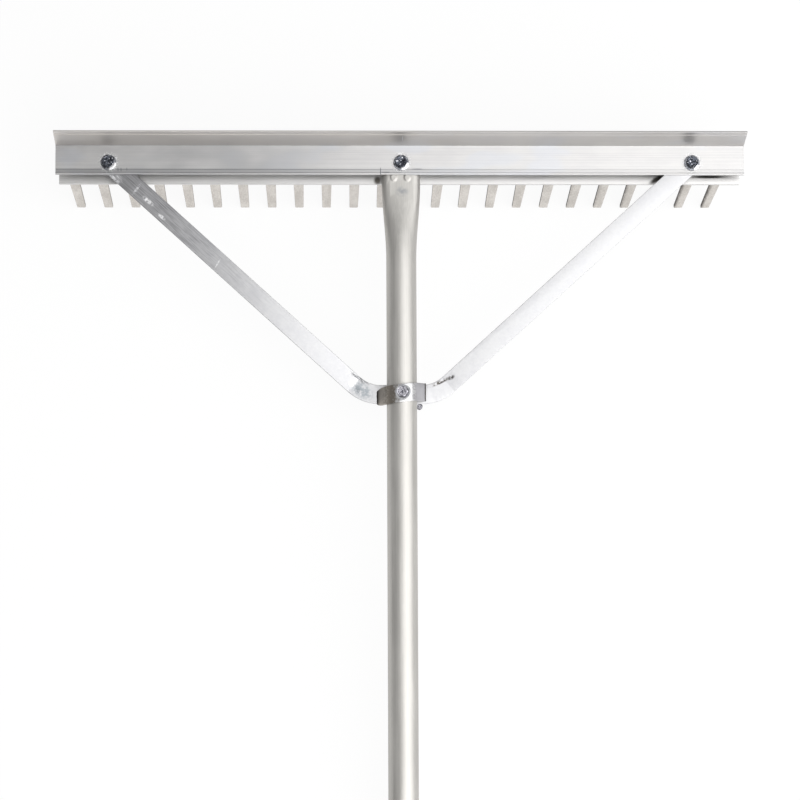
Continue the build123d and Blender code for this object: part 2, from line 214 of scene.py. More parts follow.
def grain(tree, place, lengths, detail=3.0, turn=0.0):
    """Noise whose patches have the given lengths in millimetres, turned by degrees off the head's line."""
    turned = add_node(tree, "ShaderNodeMapping", {"Vector": place, "Rotation": (0, 0, radians(turn))})
    scale = [1 / length for length in lengths]
    sized = add_node(tree, "ShaderNodeMapping", {"Vector": turned.outputs["Vector"], "Scale": scale})
    settings = {"Vector": sized.outputs["Vector"], "Scale": 1.0, "Detail": detail}
    return add_node(tree, "ShaderNodeTexNoise", settings).outputs["Fac"]


def where_all(tree, masks):
    """The share of a tone that several masks let through together.

    A mask is a share from 0 to 1, or a value with the level where the share starts, the level where it has
    eased to its end, and both shares if they aren't 0 and 1.
    """
    common = None
    for mask in masks:
        if isinstance(mask, tuple):
            value, start_level, end_level, *shares = mask
            start_share, end_share = shares or (0.0, 1.0)
            inputs = {"Value": value, "From Min": start_level, "From Max": end_level}
            inputs |= {"To Min": start_share, "To Max": end_share}
            eased = add_node(tree, "ShaderNodeMapRange", inputs, interpolation_type="SMOOTHSTEP")
            mask = eased.outputs["Result"]
        if common is not None:
            mask = add_node(tree, "ShaderNodeMath", {0: common, 1: mask}, operation="MULTIPLY").outputs[0]
        common = mask
    return common


def patch(tree, place, middle, reach, core=0.5):
    """1 within an oval place on the rake, easing to 0 at its rim; middle and reach are in millimetres."""
    offset = add_node(tree, "ShaderNodeVectorMath", {0: place, 1: middle}, operation="SUBTRACT")
    sized = add_node(tree, "ShaderNodeVectorMath", {0: offset.outputs[0], 1: reach}, operation="DIVIDE")
    distance = add_node(tree, "ShaderNodeVectorMath", {0: sized.outputs[0]}, operation="LENGTH")
    return where_all(tree, [(distance.outputs["Value"], 1.0, core)])


def slanted_patch(tree, place, middle, reach, slant, core=0.5):
    """A patch whose oval is turned about the rake's face, by degrees, clockwise as the user sees it."""
    turned = add_node(tree, "ShaderNodeMapping", {"Vector": place, "Rotation": (0, 0, radians(slant))})
    turned_middle = Matrix.Rotation(radians(slant), 3, "Z") @ Vector(middle)
    return patch(tree, turned.outputs["Vector"], turned_middle, reach, core)


def lay_over(tree, socket, tone, *masks):
    """Lays a hex colour, or a roughness, over what a shader's socket has, where all the masks let it."""
    share = where_all(tree, masks)
    under = socket.links[0].from_socket if socket.links else socket.default_value
    if isinstance(tone, str):
        inputs = {"Factor": share, 6: under, 7: linear(tone)}
        over = add_node(tree, "ShaderNodeMix", inputs, data_type="RGBA").outputs[2]
    else:
        over = add_node(tree, "ShaderNodeMix", {"Factor": share, 2: under, 3: tone}).outputs[0]
    tree.links.new(over, socket)


def roughen(tree, shader, height, depth):
    """Adds a relief of the given depth in metres to a finish."""
    bump = add_node(tree, "ShaderNodeBump", {"Height": height, "Distance": depth, "Strength": 1.0})
    if shader.inputs["Normal"].links:
        tree.links.new(shader.inputs["Normal"].links[0].from_socket, bump.inputs["Normal"])
    tree.links.new(bump.outputs["Normal"], shader.inputs["Normal"])


def metal(name, tone, roughness):
    """A new bare metal finish of one tone, and the surface's place in the rake's own axes."""
    material, tree, shader, place = new_finish(name)
    shader.inputs["Metallic"].default_value = 1.0
    shader.inputs["Base Color"].default_value = linear(tone)
    shader.inputs["Roughness"].default_value = roughness
    return material, tree, shader, rake_place(tree, place)


def aluminium(name, light, dark, line_lengths, cloud_lengths, roughness, line_depth):
    """Bare aluminium with fine lines and slow clouds, whose lengths are in millimetres along each axis.

    Real lines are a few hundredths of a millimetre wide. They are drawn wider here, so that they show.
    """
    material, tree, shader, place = metal(name, dark, roughness[0])
    lines = grain(tree, place, line_lengths, detail=4.0)
    clouds = grain(tree, place, cloud_lengths, detail=5.0)
    depth_of_tone = add_node(tree, "ShaderNodeMix", {"Factor": 0.5, 2: lines, 3: clouds}).outputs[0]
    lay_over(tree, shader.inputs["Base Color"], light, (depth_of_tone, 0.36, 0.64))
    lay_over(tree, shader.inputs["Roughness"], roughness[1], (depth_of_tone, 0.36, 0.64))
    roughen(tree, shader, lines, line_depth)
    return material, tree, shader, place


outer_bolt_across = 387.35
bolt_columns = {"left": -outer_bolt_across, "centre": 0.0, "right": outer_bolt_across}
wall_out = 12.7
lip_up = 23.0
rail_finish, tree, shader, place = aluminium(
    "extruded_aluminium", "C6C5C4", "B7B6B6", (260.0, 1.1, 1.1), (45.0, 16.0, 16.0), (0.31, 0.40), 0.018 * mm
)
colour = shader.inputs["Base Color"]
tint = grain(tree, place, (60.0, 26.0, 26.0), detail=1.0)
lay_over(tree, colour, "B9BEC8", (tint, 0.5, 0.66, 0.0, 0.3))
# Painted shade: the left part of the rail is darkened in patches, away from the light on the right
left_side_shade = patch(tree, place, (-240.0, 0.0, wall_out), (230.0, 90.0, 60.0), 0.1)
lay_over(tree, colour, "A3A3A4", left_side_shade, (tint, 0.3, 0.6, 0.3, 0.7))
spot = add_node(tree, "ShaderNodeSeparateXYZ", {"Vector": place}).outputs
# Painted light: the lip is painted paler and warmer, more at the left than at the right; it is rougher too
lip = (spot["Y"], lip_up - 0.4, lip_up + 0.4), (spot["X"], -300.0, 400.0, 0.85, 0.35)
lay_over(tree, colour, "E3DFDB", *lip)
lay_over(tree, shader.inputs["Roughness"], 0.5, *lip)

# Painted shade in the wall's two grooves and on the bead between them, thinning out to the right
front = (spot["Z"], wall_out - 2.0, wall_out - 1.5), (spot["X"], 330.0, -260.0, 0.25, 1.0)
stripe_edge = 0.3
for low, high, tone, share in (
    (-13.6, -8.6, "8F8F90", 0.6),
    (-9.6, -8.2, "77787A", 0.5),
    (-14.0, -12.9, "6F7072", 0.45),
):
    above = (spot["Y"], low - stripe_edge, low + stripe_edge, 0.0, share)
    below = (spot["Y"], high + stripe_edge, high - stripe_edge)
    lay_over(tree, colour, tone, *front, above, below)

# Scuffs round the bolts, then single scratches
for column in bolt_columns.values():
    near = patch(tree, place, (column, 0.0, wall_out), (16.5, 16.5, 8.0), 0.5)
    specks = grain(tree, place, (1.7, 1.7, 1.7), detail=2.0)
    lay_over(tree, colour, "F0F1F2", near, (specks, 0.55, 0.62))
    lay_over(tree, colour, "8E9195", near, (specks, 0.44, 0.37, 0.0, 0.7))
    lay_over(tree, shader.inputs["Roughness"], 0.55, near, (specks, 0.5, 0.6))
for middle, reach in (
    ((-27.4, -12.0, wall_out), (0.8, 7.0, 4.0)),
    ((-20.8, -12.6, wall_out), (7.5, 0.6, 4.0)),
    ((-374.7, -9.6, wall_out), (0.6, 3.4, 4.0)),
    ((-370.7, -9.6, wall_out), (0.6, 3.0, 4.0)),
    ((-363.0, -9.0, wall_out), (0.5, 2.6, 4.0)),
    ((21.0, -8.4, wall_out), (9.0, 0.6, 4.0)),
):
    lay_over(tree, colour, "6E7074", patch(tree, place, middle, reach, 0.6))
lay_over(tree, colour, "F4F4F4", patch(tree, place, (1.4, 30.0, 27.0), (0.8, 4.0, 12.0)))
wear(frame["nodes"]["head_rail"], rail_finish)

# Tooth bar: flat aluminium bar bolted behind the rail, cleaner and smoother than the rail because the rail
# covers most of it. Painted shadows lie beside the handle, under the rail's right end and by the right leg.
bar_finish, tree, shader, place = aluminium(
    "drawn_flat_bar", "D6D5D4", "CBCAC9", (160.0, 1.4, 1.4), (60.0, 10.0, 10.0), (0.38, 0.44), 0.004 * mm
)
# Painted shadows: beside the handle, under the rail's right end, and beside the right leg
for middle, reach, slant, tone in (
    ((-31.0, -20.0, -10.0), (7.0, 8.0, 8.0), 0.0, "57544F"),
    ((413.0, -14.8, -10.0), (34.0, 2.6, 8.0), 0.0, "2E2C2A"),
    ((343.0, -18.5, -10.0), (15.0, 5.0, 8.0), -32.0, "3A3835"),
):
    painted_shadow = slanted_patch(tree, place, middle, reach, slant, 0.3)
    lay_over(tree, shader.inputs["Base Color"], tone, painted_shadow)
wear(frame["nodes"]["tooth_bar"], bar_finish)

# Teeth: 24 blades sheared from flat bar and tumbled, so their faces are matt, grained and a little warm.
# Their sheared sides are darker than the faces, and their left sides far darker as painted shade. Painted
# shade also lies along the left edges of the teeth towards the right end.


def squarely(tree, way):
    """How squarely the surface faces a direction: 1 full on, 0 edge on, and -1 turned away."""
    normal = add_node(tree, "ShaderNodeNewGeometry", {}).outputs["Normal"]
    cosine = add_node(tree, "ShaderNodeVectorMath", {0: normal, 1: way}, operation="DOT_PRODUCT")
    return cosine.outputs["Value"]


tooth_finish, tree, shader, place = aluminium(
    "tumbled_aluminium", "E6E2DD", "CBC6C0", (1.6, 1.6, 8.0), (14.0, 14.0, 40.0), (0.5, 0.66), 0.12 * mm
)
colour = shader.inputs["Base Color"]
# Painted shade: sides facing left are painted near black, sides facing right only a darker tone
sideways = squarely(tree, across_way)
lay_over(tree, colour, "34312E", (sideways, -0.5, -0.8))
lay_over(tree, colour, "8F8A83", (sideways, 0.5, 0.8))
first_tooth_across = -434.75
tooth_pitch = 37.3
across_teeth = add_node(tree, "ShaderNodeSeparateXYZ", {"Vector": place}).outputs["X"]
first_gap = first_tooth_across - tooth_pitch / 2
past_first = add_node(tree, "ShaderNodeMath", {0: across_teeth, 1: first_gap}, operation="SUBTRACT")
past_gap = add_node(tree, "ShaderNodeMath", {0: past_first.outputs[0], 1: tooth_pitch}, operation="MODULO")
# Painted shade along the left edge of each tooth towards the right end, broken up by noise
left_edge_shade = (past_gap.outputs[0], 17.5, 12.5), (across_teeth, 150.0, 420.0, 0.0, 0.85)
shade_breakup = grain(tree, place, (3.0, 3.0, 9.0), detail=3.0)
lay_over(tree, colour, "4A433D", *left_edge_shade, (shade_breakup, 0.3, 0.6, 0.5, 1.0))
for name, node in frame["nodes"].items():
    if name.startswith("tooth_") and name != "tooth_bar":
        wear(node, tooth_finish)

# Spacers: short sleeves sawn from drawn aluminium tube, one on each outer bolt, which keep the channel from
# closing. Drawing has left faint lines along them.
spacer_finish, tree, shader, place = aluminium(
    "sawn_aluminium_sleeve", "CFD0D2", "B9BABD", (0.8, 0.8, 12.0), (6.0, 6.0, 12.0), (0.38, 0.5), 0.02 * mm
)
wear(frame["nodes"]["channel_spacers"], spacer_finish)

# Handle tube: drawn aluminium tube with a satin finish, faint lines running along it. Its end is pressed
# flat, and the press has left two low bumps and a grey rub just below the rail's edge.


def only(piece):
    """Makes one piece the selected and active one, outside edit mode."""
    if bpy.context.mode != "OBJECT":
        bpy.ops.object.mode_set(mode="OBJECT")
    bpy.ops.object.select_all(action="DESELECT")
    piece.select_set(True)
    bpy.context.view_layer.objects.active = piece


def edit(piece, kind, choose):
    """Opens a piece for editing with only the chosen points, edges or faces selected."""
    only(piece)
    bpy.ops.object.mode_set(mode="EDIT")
    bpy.ops.mesh.select_all(action="DESELECT")
    bpy.ops.mesh.select_mode(type=kind)
    bpy.ops.object.mode_set(mode="OBJECT")
    mesh = piece.data
    for part in {"VERT": mesh.vertices, "EDGE": mesh.edges, "FACE": mesh.polygons}[kind]:
        part.select = choose(part)
    bpy.ops.object.mode_set(mode="EDIT")


def done(piece, smooth_angle=30.0):
    """Closes a piece after editing, with its soft edges shaded smooth."""
    only(piece)
    bpy.ops.object.mode_set(mode="OBJECT")
    bpy.ops.object.shade_smooth_by_angle(angle=radians(smooth_angle))


def worked_copy(node, name):
    """A piece with a solid's mesh, merged, for a shape that is worked further; it stands for the solid."""
    piece = bpy.data.objects.new(name, frame["nodes"][node].data.copy())
    bpy.context.scene.collection.objects.link(piece)
    edit(piece, "VERT", lambda point: True)
    bpy.ops.mesh.remove_doubles(threshold=0.002 * mm)
    bpy.ops.object.mode_set(mode="OBJECT")
    bpy.ops.mesh.customdata_custom_splitnormals_clear()
    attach(piece, "root")
    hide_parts(node)
    return piece


to_rake = (Matrix.Translation(bolt_line) @ (rake_turn * mm).to_4x4()).inverted()


def cut_patch(piece, middle, reach, step):
    """Cuts the front of a piece into a fine grid round a place, so that a mark can be pressed there."""
    low, high = [Vector(middle) + side * Vector((reach, reach)) for side in (-1, 1)]
    spots = [(to_rake @ point.co).xy for point in piece.data.vertices]

    def in_patch(face):
        corners = [spots[corner] for corner in face.vertices]
        starts = [min(corner[axis] for corner in corners) < high[axis] for axis in (0, 1)]
        ends = [max(corner[axis] for corner in corners) > low[axis] for axis in (0, 1)]
        return all(starts + ends) and face.normal.dot(out_way) > 0.35

    edit(piece, "FACE", in_patch)
    bpy.ops.mesh.hide(unselected=True)
    for way, start in ((across_way, low.x), (up_way, low.y)):
        for cut in range(int(2 * reach / step) + 1):
            bpy.ops.mesh.select_all(action="SELECT")
            bpy.ops.mesh.bisect(plane_co=bolt_line + way * (start + cut * step) * mm, plane_no=way)
    bpy.ops.mesh.reveal()
    bpy.ops.object.mode_set(mode="OBJECT")


def press(piece, middle, size, depth, flat_share=0.0, turn=0.0):
    """Presses an oval mark into the front of a piece, or out of it; sizes are in millimetres."""
    tilt = Matrix.Rotation(radians(turn), 2)
    for point, facing in [(point, point.normal.dot(out_way)) for point in piece.data.vertices]:
        off = tilt @ ((to_rake @ point.co).xy - Vector(middle))
        distance = Vector((off.x / size[0], off.y / size[1])).length
        if distance < 1.0 and facing > 0.3:
            share = min(1.0, (1.0 - distance) / (1.0 - flat_share))
            point.co += out_way * depth * mm * share * share * (3 - 2 * share)


tube = worked_copy("handle_tube", "handle_tube_drawn")
bump_up = -19.2
bump_height = 1.1
for bump_across in (-9.9, 8.2):
    cut_patch(tube, (bump_across, bump_up), 7.0, 0.7)
    press(tube, (bump_across, bump_up), (5.4, 6.4), bump_height, flat_share=0.55)
done(tube)
tube_finish, tree, shader, place = aluminium(
    "drawn_aluminium_tube", "CAC8C4", "BBB9B5", (0.9, 220.0, 0.9), (12.0, 90.0, 12.0), (0.50, 0.56), 0.02 * mm
)
rub = patch(tree, place, (1.0, -38.0, 11.0), (12.0, 9.0, 8.0), 0.1)
rubbing = grain(tree, place, (5.0, 5.0, 5.0))
lay_over(tree, shader.inputs["Base Color"], "A0A1A3", rub, (rubbing, 0.3, 0.6))
wear(tube, tube_finish)

# Grip plug: polyethylene plug, moulded in one with its hollow skirt and pushed into the tube's free end.
# The mould leaves a soft rim and a fine matt grain, which is drawn coarser than it is so that it shows.


def shape_by(piece, kind, **settings):
    """Adds a modifier to a piece and applies it."""
    only(piece)
    modifier = piece.modifiers.new(kind.lower(), kind)
    for name, value in settings.items():
        setattr(modifier, name, value)
    bpy.ops.object.modifier_apply(modifier=modifier.name)


def basis(facing):
    """Turn that stands a piece, modelled facing up, with its Z on the given direction."""
    side = (across_way - facing * across_way.dot(facing)).normalized()
    return Matrix((side, facing.cross(side), facing)).transposed().to_4x4()


def seat(piece, place, facing, turn=0.0):
    """Moves a piece that was modelled at the origin to its seat; its place goes into its mesh."""
    piece.data.transform(Matrix.Translation(place) @ basis(facing) @ Matrix.Rotation(radians(turn), 4, "Z"))
    piece.data.update()


tube_radius = 20.0 * mm
tube_wall = 2.0 * mm
plug_cap = 4.0 * mm
plug_skirt = 32.0 * mm
plug_wall = 3.0 * mm
plug_gap = 0.1 * mm
rim_width = 3.5 * mm
groove_width = 0.8 * mm
groove_depth = 0.5 * mm
gate_radius = 2.3 * mm
gate_depth = 0.3 * mm
bpy.ops.mesh.primitive_cylinder_add(
    vertices=96, radius=tube_radius, depth=plug_cap, location=(0, 0, plug_cap / 2)
)
plug = bpy.context.object
plug.name = "grip_plug_moulded"
bpy.ops.object.transform_apply()
edit(plug, "FACE", lambda face: face.normal.z < -0.9)
bpy.ops.mesh.inset(thickness=tube_wall + plug_gap)
bpy.ops.mesh.extrude_region_move(TRANSFORM_OT_translate={"value": (0, 0, -plug_skirt)})
bpy.ops.mesh.inset(thickness=plug_wall)
bpy.ops.mesh.extrude_region_move(TRANSFORM_OT_translate={"value": (0, 0, plug_skirt)})
edit(plug, "FACE", lambda face: face.normal.z > 0.9 and face.center.z > plug_cap / 2)
bpy.ops.mesh.inset(thickness=rim_width)
bpy.ops.mesh.inset(thickness=groove_width)
bpy.ops.transform.translate(value=(0, 0, -groove_depth))
bpy.ops.mesh.inset(thickness=tube_radius - rim_width - groove_width - gate_radius)
bpy.ops.mesh.inset(thickness=gate_depth)
bpy.ops.transform.translate(value=(0, 0, -gate_depth))
bpy.ops.object.mode_set(mode="OBJECT")
near_enough = 0.01 * mm
on_rim = [
    point.index
    for point in plug.data.vertices
    if point.co.z > plug_cap - near_enough and point.co.xy.length > tube_radius - near_enough
]
plug.vertex_groups.new(name="rim").add(on_rim, 1.0, "REPLACE")
shape_by(plug, "BEVEL", width=1.2 * mm, segments=5, limit_method="VGROUP", vertex_group="rim", affect="EDGES")
shape_by(plug, "BEVEL", width=0.25 * mm, segments=2, limit_method="ANGLE", angle_limit=radians(50))
done(plug)
grip_end_up = (to_rake @ Vector(mounts["grip_end_face"]["pos_m"])).y
seat(plug, on_rake(0, grip_end_up, 0) + up_way * plug_cap, -up_way)
plug_finish, tree, shader, place = new_finish("moulded_polyethylene")
place = rake_place(tree, place)
mould_grain = grain(tree, place, (0.7, 0.7, 0.7), detail=2.0)
shader.inputs["Base Color"].default_value = linear("1B1B1C")
lay_over(tree, shader.inputs["Base Color"], "29292A", mould_grain)
rubbed = grain(tree, place, (12.0, 12.0, 12.0), detail=4.0)
shader.inputs["Roughness"].default_value = 0.48
lay_over(tree, shader.inputs["Roughness"], 0.62, (rubbed, 0.35, 0.65))
roughen(tree, shader, mould_grain, 0.08 * mm)
wear(plug, plug_finish)
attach(plug, "root")
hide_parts("grip_plug")

# Brace: one bright flat aluminium bar, bent cold round the back of the tube. The bending tool has left
# press marks below the left bolt, dents down that leg and crumpled inner edges at both corners. Painted
# highlights lie on the dents and on the bend line. The left leg is scoured rough, and painted shade darkens
# it.
brace = worked_copy("brace", "brace_bent")
for middle, size, depth in (
    ((-376.0, -21.5), (6.0, 2.0), -0.5),
    ((-385.0, -17.5), (4.5, 1.8), -0.5),
    ((-334.0, -51.0), (7.0, 2.4), -0.15),
    ((-317.4, -72.3), (6.5, 2.0), -0.15),
    ((-65.7, -278.5), (8.0, 1.8), -0.5),
    ((-54.0, -288.0), (7.0, 1.6), -0.5),
    ((-61.0, -299.0), (9.0, 5.0), -0.3),
    ((65.0, -284.0), (7.0, 1.5), -0.35),
    ((52.0, -290.0), (9.0, 1.2), -0.35),
):
    cut_patch(brace, middle, max(size) + 0.8, 0.9)
    press(brace, middle, size, depth, turn=40.0 if middle[0] < 0 else -30.0)
done(brace)
brace_finish, tree, shader, place = aluminium(
    "bright_flat_bar", "C5C5C6", "B7B7B9", (9.0, 9.0, 9.0), (30.0, 30.0, 30.0), (0.36, 0.44), 0.02 * mm
)
colour = shader.inputs["Base Color"]
scour = grain(tree, place, (26.0, 1.0, 4.0), detail=3.0, turn=42.0)
# Painted shade: the left leg is darkened in scoured streaks; it is also rougher
left_leg_rough_and_shade = patch(tree, place, (-380.0, -20.0, 8.0), (410.0, 365.0, 300.0), 0.12)
lay_over(tree, colour, "6C6C6E", left_leg_rough_and_shade, (scour, 0.25, 0.6, 1.0, 0.65))
lay_over(tree, shader.inputs["Roughness"], 0.46, left_leg_rough_and_shade)
roughen(tree, shader, scour, 0.03 * mm)
press_marks = grain(tree, place, (7.0, 2.4, 5.0), detail=3.0, turn=42.0)
crumples_and_glints = grain(tree, place, (3.0, 3.0, 3.0), detail=3.0)
# Painted highlights: the pale marks on the bend line and on the two dents down the left leg
for marks, middle, reach, slant, tone, level in (
    (press_marks, (-380.0, -20.0, 10.0), (15.0, 10.0, 14.0), 42.0, "D2D2D4", 0.48),
    (crumples_and_glints, (-350.0, -35.0, 10.0), (2.2, 12.0, 14.0), 36.0, "BCBCBE", 0.46),
    (crumples_and_glints, (-335.0, -51.0, 8.0), (12.0, 4.0, 9.0), 42.0, "D8D8D9", 0.46),
    (crumples_and_glints, (-317.4, -71.5, 6.0), (8.0, 3.2, 8.0), 42.0, "D2D2D3", 0.46),
    (crumples_and_glints, (-243.8, -133.2, 0.0), (1.3, 10.0, 9.0), 31.6, "C8C8C9", 0.44),
    (crumples_and_glints, (-53.0, -300.0, -20.0), (23.0, 13.0, 9.0), 33.0, "92979B", 0.44),
    (crumples_and_glints, (-64.0, -289.0, -20.0), (7.0, 9.0, 9.0), 36.0, "FAFAFA", 0.5),
    (press_marks, (-54.5, -285.5, -20.0), (19.0, 2.8, 8.0), 33.0, "77787B", 0.44),
    (crumples_and_glints, (52.0, -289.5, -20.0), (21.0, 3.4, 8.0), -25.0, "5C5855", 0.43),
    (crumples_and_glints, (66.5, -283.5, -20.0), (6.5, 3.8, 8.0), -30.0, "3A3633", 0.4),
):
    marked = slanted_patch(tree, place, middle, reach, slant, 0.3)
    lay_over(tree, colour, tone, marked, (marks, level - 0.1, level + 0.12))
wear(brace, brace_finish)

# Clamp strap: a short flat aluminium bar hammered over the front of the tube, its straight ends reaching
# back to the brace. It sits askew. Its left end is lower, narrower and rougher. Painted shade darkens its
# left side and greys its right end, and painted shadow darkens both end edges.
strap_middle_up = -307.0
strap_width = 24.0
strap_thickness = 2.5
strap_middle_radius = 21.35
strap_front_out = strap_middle_radius + strap_thickness / 2
strap_wrap = 67.0
strap_askew = 6.5
strap_back_out = -20.0
strap_steps = 44
strap_rows = 14
bpy.ops.mesh.primitive_plane_add(size=strap_width * mm, location=(0, 0, strap_middle_radius * mm))
strap = bpy.context.object
strap.name = "clamp_strap_hammered"
bpy.ops.object.transform_apply()
edit(strap, "VERT", lambda point: point.co.x < 0)
bpy.ops.mesh.delete(type="VERT")
bpy.ops.mesh.select_all(action="SELECT")
bpy.ops.transform.translate(value=(-strap_width / 2 * mm, 0, 0))
bpy.ops.mesh.subdivide(number_cuts=strap_rows - 1)
bpy.ops.transform.rotate(
    value=radians(strap_wrap), orient_axis="Y", orient_type="GLOBAL", center_override=(0, 0, 0)
)
bpy.ops.object.mode_set(mode="OBJECT")
only(strap)
bpy.ops.object.mode_set(mode="EDIT")
bpy.ops.mesh.select_all(action="SELECT")
bpy.ops.mesh.spin(steps=strap_steps, angle=radians(2 * strap_wrap), center=(0, 0, 0), axis=(0, -1, 0))
bpy.ops.mesh.select_all(action="SELECT")
bpy.ops.mesh.remove_doubles(threshold=0.01 * mm)
wrap = radians(strap_wrap)
arch_end = strap_middle_radius * Vector((sin(wrap), 0, cos(wrap)))
leg_run = (arch_end.z - strap_back_out + strap_thickness) / sin(wrap)
leg_steps = 9
for side in (-1, 1):
    leg_step = Vector((side * cos(wrap), 0, -sin(wrap))) * leg_run / leg_steps * mm
    end_across = side * arch_end.x * mm
    edit(strap, "EDGE", lambda edge: all(
        abs(strap.data.vertices[end].co.x - end_across) < 0.02 * mm
        and abs(strap.data.vertices[end].co.z - arch_end.z * mm) < 0.02 * mm
        for end in edge.vertices
    ))
    for step in range(leg_steps):
        bpy.ops.mesh.extrude_region_move(TRANSFORM_OT_translate={"value": leg_step})
edit(strap, "FACE", lambda face: True)
bpy.ops.mesh.normals_make_consistent(inside=False)
bpy.ops.object.mode_set(mode="OBJECT")
shape_by(strap, "SOLIDIFY", thickness=strap_thickness * mm, offset=0.0, use_even_offset=True)
edit(strap, "FACE", lambda face: True)
bpy.ops.mesh.bisect(
    plane_co=(0, 0, strap_back_out * mm), plane_no=(0, 0, 1), use_fill=True, clear_inner=True
)
bpy.ops.mesh.select_all(action="SELECT")
bpy.ops.mesh.normals_make_consistent(inside=False)
bpy.ops.object.mode_set(mode="OBJECT")
shape_by(strap, "BEVEL", width=0.45 * mm, segments=2, limit_method="ANGLE", angle_limit=radians(50))
hammer_marks = bpy.data.textures.new("hammer_marks", "CLOUDS")
hammer_marks.noise_scale = 5.0 * mm
hammered = strap.vertex_groups.new(name="hammered")
for point in strap.data.vertices:
    leftness = 0.5 - point.co.x / (2 * arch_end.x * mm)
    hammered.add([point.index], 0.15 + 0.85 * min(1.0, max(0.0, leftness)) ** 2, "REPLACE")
shape_by(
    strap, "DISPLACE", texture=hammer_marks, texture_coords="LOCAL", strength=0.9 * mm, mid_level=0.5,
    vertex_group="hammered",
)
for point in strap.data.vertices:
    hammered_in = min(1.0, max(0.0, (-point.co.x / mm - 24.0) / 9.0)) ** 2
    point.co.y *= 1 - 0.3 * hammered_in
    point.co.y += point.co.x * tan(radians(strap_askew))
strap.data.transform(Matrix.Translation(on_rake(0, strap_middle_up, 0)) @ rake_turn.to_4x4())

# The clamp bolt's hole through the strap, drilled askew: to the right and towards the grip
bolt_turn = 14.6
bolt_dip = 7.2
bolt_radius = 4.7625 * mm
clamp_entry = on_rake(1.9, -306.8, strap_front_out)
bolt_in = toward(tan(radians(bolt_turn)), -tan(radians(bolt_dip)), -1).normalized()


def drilled(piece, place, axis, radius, depth):
    """Drills a hole right through a piece."""
    bpy.ops.mesh.primitive_cylinder_add(vertices=48, radius=radius, depth=depth)
    drill = bpy.context.object
    drill.data.transform(Matrix.Translation(place) @ basis(axis))
    shape_by(piece, "BOOLEAN", operation="DIFFERENCE", object=drill, solver="EXACT")
    bpy.data.objects.remove(drill)


strap_hole_clearance = 0.3 * mm
drilled(strap, clamp_entry, bolt_in, bolt_radius + strap_hole_clearance, 16 * mm)
done(strap)
strap_finish, tree, shader, place = aluminium(
    "hammered_flat_bar", "D8D8D8", "C4C4C5", (5.0, 5.0, 5.0), (12.0, 12.0, 12.0), (0.34, 0.46), 0.06 * mm
)
across_strap = add_node(tree, "ShaderNodeSeparateXYZ", {"Vector": place}).outputs["X"]
hammering = grain(tree, place, (2.6, 2.6, 2.6), detail=3.0)
wander = 12.0
wandering = {0: hammering, 1: 2 * wander, 2: -wander}
wandering = add_node(tree, "ShaderNodeMath", wandering, operation="MULTIPLY_ADD").outputs[0]
ragged = add_node(tree, "ShaderNodeMath", {0: across_strap, 1: wandering}, operation="ADD").outputs[0]
# Painted shade: dark left side, a lighter shade on the left end, grey right end; painted shadow at both end
# edges
for along, near, far, tone in (
    (ragged, -4.0, -12.0, "857F77"),
    (ragged, -18.0, -26.0, "B3ADA5"),
    (ragged, 13.0, 18.0, "B2B1B4"),
    (across_strap, -28.5, -33.0, "37322E"),
    (across_strap, 30.0, 31.6, "37322E"),
):
    lay_over(tree, shader.inputs["Base Color"], tone, (along, near, far))
lay_over(tree, shader.inputs["Roughness"], 0.52, (ragged, -4.0, -12.0))
wear(strap, strap_finish)
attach(strap, "root")
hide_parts("clamp_strap")

# Hex bolts: forged steel with rolled threads, zinc plated. The heads have a turned chamfer, a shallow dish
# and three raised forging marks. Their plating is painted dark as a painted dark reflection, their sides
# darker still as painted shade, and bright specks on it are painted glints.
head_flats = 14.3 * mm
head_height = 6.2 * mm
head_corner = head_flats / 2 / cos(pi / 6)
chamfer_angle = radians(30)
chamfer_start = head_flats / 2 * 0.96
thread_pitch = 1.5875 * mm
thread_depth = 0.92 * mm
thread_run = 25.4 * mm
end_chamfer = 0.8 * mm
dish_rim = 0.9 * mm
dish_depth = 0.35 * mm
mark_size = Vector((1.1, 3.0, 0.8)) * mm
mark_from_axis = 4.1 * mm


def joined(piece, other, operation="UNION"):
    """Unites two solids, or cuts a piece to what it shares with the other; the other is used up."""
    shape_by(piece, "BOOLEAN", operation=operation, object=other, solver="EXACT")
    bpy.data.objects.remove(other)


def hex_block(name, height, chamfer_below):
    """Hexagonal block standing at the origin, its corners turned off at the top, and below if asked."""
    middle = (0, 0, height / 2)
    bpy.ops.mesh.primitive_cylinder_add(vertices=6, radius=head_corner, depth=height, location=middle)
    block = bpy.context.object
    block.name = name
    bpy.ops.object.transform_apply()
    drop = height / tan(chamfer_angle)
    ends = ((chamfer_start + drop, chamfer_start), (chamfer_start, chamfer_start + drop))
    for low_radius, high_radius in ends[:2 if chamfer_below else 1]:
        bpy.ops.mesh.primitive_cone_add(
            vertices=72, radius1=low_radius, radius2=high_radius, depth=height, location=middle
        )
        joined(block, bpy.context.object, "INTERSECT")
    return block


